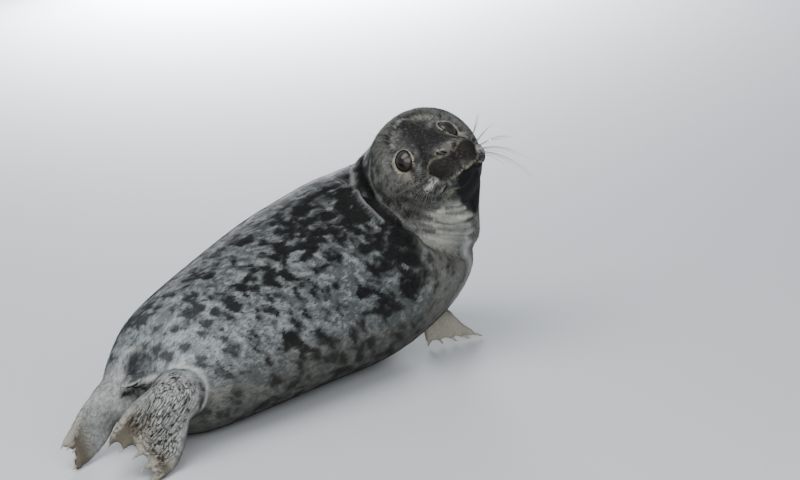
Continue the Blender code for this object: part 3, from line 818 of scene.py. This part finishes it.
class Nodes:
    """The node tree of one finish."""

    def __init__(self, name):
        self.material = bpy.data.materials.new(name)
        self.material.use_nodes = True
        self.tree = self.material.node_tree
        self.shader = self.tree.nodes["Principled BSDF"]

    def add(self, kind, settings, *values, out=0, **named):
        """A node of a kind, with its settings, then its sockets' values or links; gives an output."""
        node = self.tree.nodes.new("ShaderNode" + kind)
        for key, value in settings.items():
            setattr(node, key, value)
        for key, value in [*enumerate(values), *named.items()]:
            self.put(node.inputs[key.replace("_", " ") if isinstance(key, str) else key], value)
        return Value(self, node.outputs[out])

    def put(self, socket, value):
        if isinstance(value, Value):
            self.tree.links.new(value.socket, socket)
        else:
            socket.default_value = value

    def finish(self, **sockets):
        for name, value in sockets.items():
            self.put(self.shader.inputs[name.replace("_", " ")], value)
        return self.material

    def read(self, name, out="Fac"):
        return self.add("Attribute", {"attribute_name": name}, out=out)

    def noise(self, where, scale, detail=2.0, roughness=0.5, distortion=0.0):
        return self.add("TexNoise", {}, Vector=where, Scale=scale, Detail=detail, Roughness=roughness,
                        Distortion=distortion)

    def step(self, value, low, high):
        """0 below low, 1 above high, smooth between."""
        settings = {"interpolation_type": "SMOOTHSTEP"}
        return self.add("MapRange", settings, value, low, high, 0.0, 1.0)

    def mix(self, share, a, b):
        """From colour a to colour b."""
        a, b = (x if isinstance(x, Value) else (*x, 1.0) for x in (a, b))
        node = self.tree.nodes.new("ShaderNodeMix")
        node.data_type = "RGBA"
        for index, value in ((0, share), (6, a), (7, b)):
            self.put(node.inputs[index], value)
        return Value(self, node.outputs[2])

    def bright(self, colour, by):
        """A colour made brighter or darker."""
        return self.add("VectorMath", {"operation": "SCALE"}, colour, Scale=by)


SILVER = (0.31, 0.335, 0.335)
STEEL = (0.085, 0.092, 0.092)
LOW_GREY = (0.19, 0.186, 0.162)
LOW_DARK = (0.032, 0.032, 0.028)
BLOTCH = (0.008, 0.0083, 0.008)
RUMP_SILVER = (0.42, 0.455, 0.47)


def coat_colour(nodes):
    """Silver fur with dark blotches, under the paint of the named markings."""
    root = nodes.read("root", "Vector")
    dark, low, rump = nodes.read("dark"), nodes.read("low"), nodes.read("rump")
    tilted = nodes.add("Mapping", {"vector_type": "POINT"}, root, Rotation=(0, math.radians(-38), 0))
    drawn = nodes.add("Mapping", {"vector_type": "POINT"}, tilted, Scale=(0.62, 1.0, 1.15))
    broad = nodes.noise(drawn, 14, 1.0, 0.5)
    large = nodes.noise(drawn, 42, 2.0, 0.5, 0.4)
    small = nodes.noise(drawn, 100, 3.0, 0.6)
    combed = nodes.add("Mapping", {"vector_type": "POINT"}, root, Scale=(0.45, 1.0, 1.0))
    fleck = nodes.noise(combed, 360, 2.0, 0.6)
    ground = nodes.mix(rump, SILVER, RUMP_SILVER)
    ground = nodes.mix(low, ground, LOW_GREY)
    half = nodes.step(small + (broad - 0.5) * 0.4 + (fleck - 0.5) * 0.5, 0.60, 0.38)
    ground = nodes.mix(half * (0.95 - rump * 0.25), ground, STEEL)
    field = large + (broad - 0.5) * 0.6 + (small - 0.5) * (0.5 + rump * 0.5) + (fleck - 0.5) * 0.3 + dark
    blotch = nodes.step(field, 0.44, 0.67)
    spot = nodes.mix(low, BLOTCH, LOW_DARK)
    colour = nodes.mix(blotch * (0.97 - rump * 0.12), ground, spot)
    mark = nodes.add("Attribute", {"attribute_name": "mark"}, out="Color")
    cover = nodes.add("Attribute", {"attribute_name": "mark"}, out="Alpha")
    colour = nodes.mix(cover, colour, mark)
    warp = nodes.add("TexNoise", {}, Vector=root, Scale=50.0, Detail=3.0, out="Color")
    warp = nodes.add("VectorMath", {"operation": "SUBTRACT"}, warp, (0.5, 0.5, 0.5))
    around_ankle = nodes.read("ripple", "Vector")
    bent = nodes.add("VectorMath", {"operation": "MULTIPLY_ADD"}, warp, (3.0, 2.2, 0.0), around_ankle)
    edge = nodes.add("TexVoronoi", {"feature": "DISTANCE_TO_EDGE"}, Vector=bent, Scale=1.0, out="Distance")
    cracks = nodes.step(edge, 0.17, 0.03) * nodes.read("cracked")
    return nodes.mix(cracks * 0.95, colour, BLACK), fleck


def skin_finish():
    nodes = Nodes("short_fur_skin")
    colour, fleck = coat_colour(nodes)
    bump = nodes.add("Bump", {}, Strength=0.5, Distance=0.0012, Height=fleck)
    return nodes.finish(
        Base_Color=nodes.bright(colour, 0.70 + fleck * 0.5), Roughness=0.7, Specular_IOR_Level=0.1,
        Sheen_Weight=0.05, Sheen_Roughness=0.2, Normal=bump
    )


def coat_finish():
    nodes = Nodes("short_fur_tufts")
    colour, _ = coat_colour(nodes)
    return nodes.finish(
        Base_Color=nodes.bright(colour, 0.75 + nodes.read("hair") * 0.6), Roughness=0.6,
        Specular_IOR_Level=0.1, Sheen_Weight=0.05, Sheen_Roughness=0.2
    )


# ---- Eyes, claws and whiskers ----
def eye_finish():
    nodes = Nodes("wet_eye")
    place = nodes.read("gaze")
    iris = nodes.step(place, 0.80, 0.90)
    colour = nodes.mix(iris, (0.030, 0.022, 0.018), (0.010, 0.008, 0.008))
    return nodes.finish(Base_Color=colour, Roughness=0.2, Coat_Weight=0.12, Coat_Roughness=0.03)


def eyes():
    made = []
    for name, side in SIDES.items():
        bm = bmesh.new()
        bmesh.ops.create_uvsphere(bm, u_segments=64, v_segments=32, radius=EYE_RADIUS)
        mesh = bpy.data.meshes.new(f"eyeball_{name}")
        bm.to_mesh(mesh)
        bm.free()
        gaze = head_axes @ (EYE_GAZE * (1, side, 1))
        places = np.array([v.co for v in mesh.vertices])
        facing = places @ gaze / EYE_RADIUS
        places += gaze * (0.0012 * rise(facing, 0.80, 1.0))[:, None]
        mesh.vertices.foreach_set("co", (places + np.array(middle(f"eye_{name}"))).ravel())
        write_values(mesh, {"gaze": facing})
        mesh.shade_smooth()
        obj = bpy.data.objects.new(f"eyeball_{name}", mesh)
        bpy.context.scene.collection.objects.link(obj)
        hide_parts(f"eye_{name}")
        made.append(obj)
    return made


def claws():
    made = []
    for node in sorted(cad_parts):
        if not node.startswith("claw"):
            continue
        bm = bmesh.new()
        bm.from_mesh(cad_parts[node].data)
        bmesh.ops.remove_doubles(bm, verts=bm.verts, dist=1e-6)
        mesh = bpy.data.meshes.new(f"nail_{node[5:]}")
        bm.to_mesh(mesh)
        bm.free()
        obj = bpy.data.objects.new(mesh.name, mesh)
        bpy.context.scene.collection.objects.link(obj)
        round_off = obj.modifiers.new("round", "SUBSURF")
        round_off.levels = round_off.render_levels = 2
        mesh.shade_smooth()
        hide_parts(node)
        made.append(obj)
    return made


def claw_finish():
    nodes = Nodes("horn")
    grain = nodes.noise(nodes.add("TexCoord", {}, out="Object"), 400, 2.0)
    colour = nodes.mix(grain, (0.20, 0.17, 0.13), (0.48, 0.43, 0.35))
    return nodes.finish(Base_Color=colour, Roughness=0.35)


WHISKER_ROWS = 5
WHISKERS_IN_ROW = 4
WHISKER_SIDES = 5
WHISKER_STEPS = 12
WHISKER_ROOT = 0.00045  # radii
WHISKER_TIP = 0.00012
WHISKER_WALL = -0.2395  # y beyond which no whisker reaches
WHISKER_CEILING = 0.449  # and z


def thread(bm, path, thick, fine):
    """A closed tapering tube along a path."""
    rings = []
    for index, place in enumerate(path):
        ahead = path[min(index + 1, len(path) - 1)] - path[max(index - 1, 0)]
        way = Vector(ahead).normalized()
        side = way.orthogonal().normalized()
        over = way.cross(side)
        radius = thick + (fine - thick) * index / (len(path) - 1)
        turns = [2 * math.pi * k / WHISKER_SIDES for k in range(WHISKER_SIDES)]
        rings.append([
            bm.verts.new(Vector(place) + (side * math.cos(t) + over * math.sin(t)) * radius) for t in turns
        ])
    for low, high in zip(rings, rings[1:]):
        for k in range(WHISKER_SIDES):
            n = (k + 1) % WHISKER_SIDES
            bm.faces.new((low[k], low[n], high[n], high[k]))
    bm.faces.new(rings[0][::-1])
    bm.faces.new(rings[-1])


def whisker_path(root, way, droop, length):
    """From a root in the head's frame, bending steadily by droop over its length."""
    t = np.linspace(0, 1, WHISKER_STEPS)[:, None]
    way = np.asarray(way, float) / np.linalg.norm(way)
    return from_head(np.asarray(root) + length * (t * way + t**2 * np.asarray(droop)))


def whiskers(skin):
    """The whiskers of each lip and brow."""
    pick = np.random.default_rng(SEED)
    head = to_head(skin.places)
    made = []
    for name, side in SIDES.items():
        bm = bmesh.new()
        for row in range(WHISKER_ROWS):
            for place in range(WHISKERS_IN_ROW):
                guess = np.array((0.076 - 0.011 * place, side * 0.060, -0.040 - 0.0085 * row))
                ray = guess + (0, side * 0.04, 0)
                nearest = np.argmin(np.linalg.norm((head - ray) * (1, 0.3, 1), axis=1))
                root = head[nearest]
                way = (0.05 - 0.16 * place, side, 0.62 - 0.34 * row)
                droop = (-0.38, -0.12 * side, -0.16 - 0.04 * row)
                length = (0.060 + 0.016 * place) * (0.85 + 0.3 * pick.random())
                path = whisker_path(root, way, droop, length)
                while path[:, 1].min() < WHISKER_WALL:
                    length *= 0.93
                    path = whisker_path(root, way, droop, length)
                thread(bm, path, WHISKER_ROOT, WHISKER_TIP)
        for place in range(3):
            guess = np.array((-0.020 - 0.005 * place, side * (0.030 + 0.006 * place), 0.036))
            root = head[np.argmin(np.linalg.norm(head - guess, axis=1))]
            way = (0.10 - 0.25 * place, side * (0.1 + 0.2 * place), 1)
            length = 0.036 + 0.005 * place
            path = whisker_path(root, way, (-0.15, 0, 0), length)
            while path[:, 2].max() > WHISKER_CEILING:
                length *= 0.93
                path = whisker_path(root, way, (-0.15, 0, 0), length)
            thread(bm, path, WHISKER_ROOT, WHISKER_TIP)
        mesh = bpy.data.meshes.new(f"whiskers_{name}")
        bm.to_mesh(mesh)
        bm.free()
        mesh.shade_smooth()
        obj = bpy.data.objects.new(mesh.name, mesh)
        bpy.context.scene.collection.objects.link(obj)
        made.append(obj)
    return made


def whisker_finish():
    return Nodes("whisker").finish(Base_Color=(0.10, 0.096, 0.088, 1), Roughness=0.4)


# ---- Stage ----
def light(name, place, target, size, power, tint=(1, 1, 1)):
    data = bpy.data.lights.new(name, "AREA")
    data.shape = "DISK"
    data.size = size
    data.energy = power
    data.color = tint
    obj = bpy.data.objects.new(name, data)
    obj.location = place
    obj.rotation_euler = (Vector(target) - Vector(place)).to_track_quat("-Z", "Y").to_euler()
    bpy.context.scene.collection.objects.link(obj)


def stage():
    bm = bmesh.new()
    bmesh.ops.create_grid(bm, x_segments=1, y_segments=1, size=40)
    mesh = bpy.data.meshes.new("floor")
    bm.to_mesh(mesh)
    bm.free()
    floor = bpy.data.objects.new("floor", mesh)
    bpy.context.scene.collection.objects.link(floor)
    mesh.materials.append(Nodes("pale_floor").finish(Base_Color=(0.62, 0.64, 0.66, 1), Roughness=0.9))
    world = bpy.data.worlds.new("studio")
    world.use_nodes = True
    world.node_tree.nodes["Background"].inputs["Color"].default_value = (0.86, 0.93, 1.0, 1)
    world.node_tree.nodes["Background"].inputs["Strength"].default_value = 0.45
    bpy.context.scene.world = world
    light("key", (-1.2, 0.2, 3.0), (0, 0, 0.2), 3.0, 85)
    light("back", (2.9, 2.3, 0.4), (0, 0, 0.25), 1.0, 190, (0.93, 0.97, 1.0))
    light("front", (-2.4, -2.6, 1.4), (0.1, -0.1, 0.25), 3.6, 95)


CAMERA_TURN = math.radians(52)  # from looking along +Y towards looking along +X
CAMERA_RISE = math.radians(15)
CAMERA_ROLL = math.radians(5.5)
CAMERA_AWAY = 9.0
AIM = Vector((0.061, -0.223, 0.290))
LENS = 235.0


def camera():
    data = bpy.data.cameras.new("camera")
    data.lens = LENS
    data.sensor_width = 36
    obj = bpy.data.objects.new("camera", data)
    turned = Matrix.Rotation(-CAMERA_TURN, 4, "Z") @ Matrix.Rotation(math.pi / 2 - CAMERA_RISE, 4, "X")
    turned = turned @ Matrix.Rotation(-CAMERA_ROLL, 4, "Z")
    back = turned.to_3x3() @ Vector((0, 0, 1))
    obj.matrix_world = Matrix.Translation(AIM + back * CAMERA_AWAY) @ turned
    bpy.context.scene.collection.objects.link(obj)
    bpy.context.scene.camera = obj


# ---- Assembly ----
def show(obj, material):
    obj.data.materials.clear()
    obj.data.materials.append(material)
    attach(obj, "root")


def make_skin():
    skin = Skin(fused_flesh())
    skin.relax(14)
    unwrap(skin.mesh)
    regions = [(head_and_limbs, 0.0028, 3), (creased, 0.0014, 2), (face, 0.0014, 3), (finest, 0.0007, 2)]
    for region, grain, passes in regions:
        skin.refine(region, grain)
        skin.relax(passes, rise(region(skin.places).astype(float), 0, 1))
    skin.push(np.full(len(skin.places), -COAT_DEPTH - SWELL))
    skin.settle()
    press_face(skin)
    press_folds(skin)
    press_ankles(skin)
    press_lids(skin)
    return skin


def main():
    skin = make_skin()
    values = markings(skin)
    corners = Corners(skin, values)
    write_values(skin.mesh, values)
    obj = bpy.data.objects.new("skin", skin.mesh)
    bpy.context.scene.collection.objects.link(obj)
    skin.mesh.shade_smooth()
    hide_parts(*FLESH, *FLIPPERS)
    show(obj, skin_finish())
    head = to_head(corners.centres)
    lids = np.min([eye_turn(head, side)[1] for side in SIDES.values()], axis=0)
    near_eyes = np.min([eye_turn(head, side)[0] for side in SIDES.values()], axis=0) < 0.035
    bald = near_eyes & (lids < 0.09)
    bald |= blob(head, (0.086, 0, -0.027), (0.014, 0.020, 0.012)) > 0.35
    x, y, z = corners.centres.T
    on_face = (head[:, 0] > -0.045) & (np.linalg.norm(head - (0.03, 0, -0.04), axis=1) < 0.10)
    on_head = (np.linalg.norm(head - (-0.03, 0, -0.05), axis=1) < 0.15) & ~on_face
    feet = (x < -0.36) | ((z < 0.05) & (x > 0.33))
    trunk = ~(on_face | on_head | feet)
    parts = [
        ("fur_face", on_face & ~bald, 0.0012, 0.0032),
        ("fur_head", on_head, 0.0018, 0.0055),
        ("fur_feet", feet, 0.0018, 0.0040),
        ("fur_front", trunk & (x > 0.16), 0.0025, 0.0072),
        ("fur_middle", trunk & (x <= 0.16) & (x > -0.10), 0.0025, 0.0072),
        ("fur_rear", trunk & (x <= -0.10), 0.0025, 0.0072),
    ]
    fur = coat_finish()
    for index, (name, belongs, spacing, length) in enumerate(parts):
        piece = tufts(name, corners, belongs, spacing, length, index)
        print(name, len(piece.data.polygons))
        show(piece, fur)
    wet = eye_finish()
    for eye in eyes():
        show(eye, wet)
    horn = claw_finish()
    for claw in claws():
        show(claw, horn)
    hair = whisker_finish()
    for whisker in whiskers(skin):
        show(whisker, hair)
    stage()
    camera()


main()
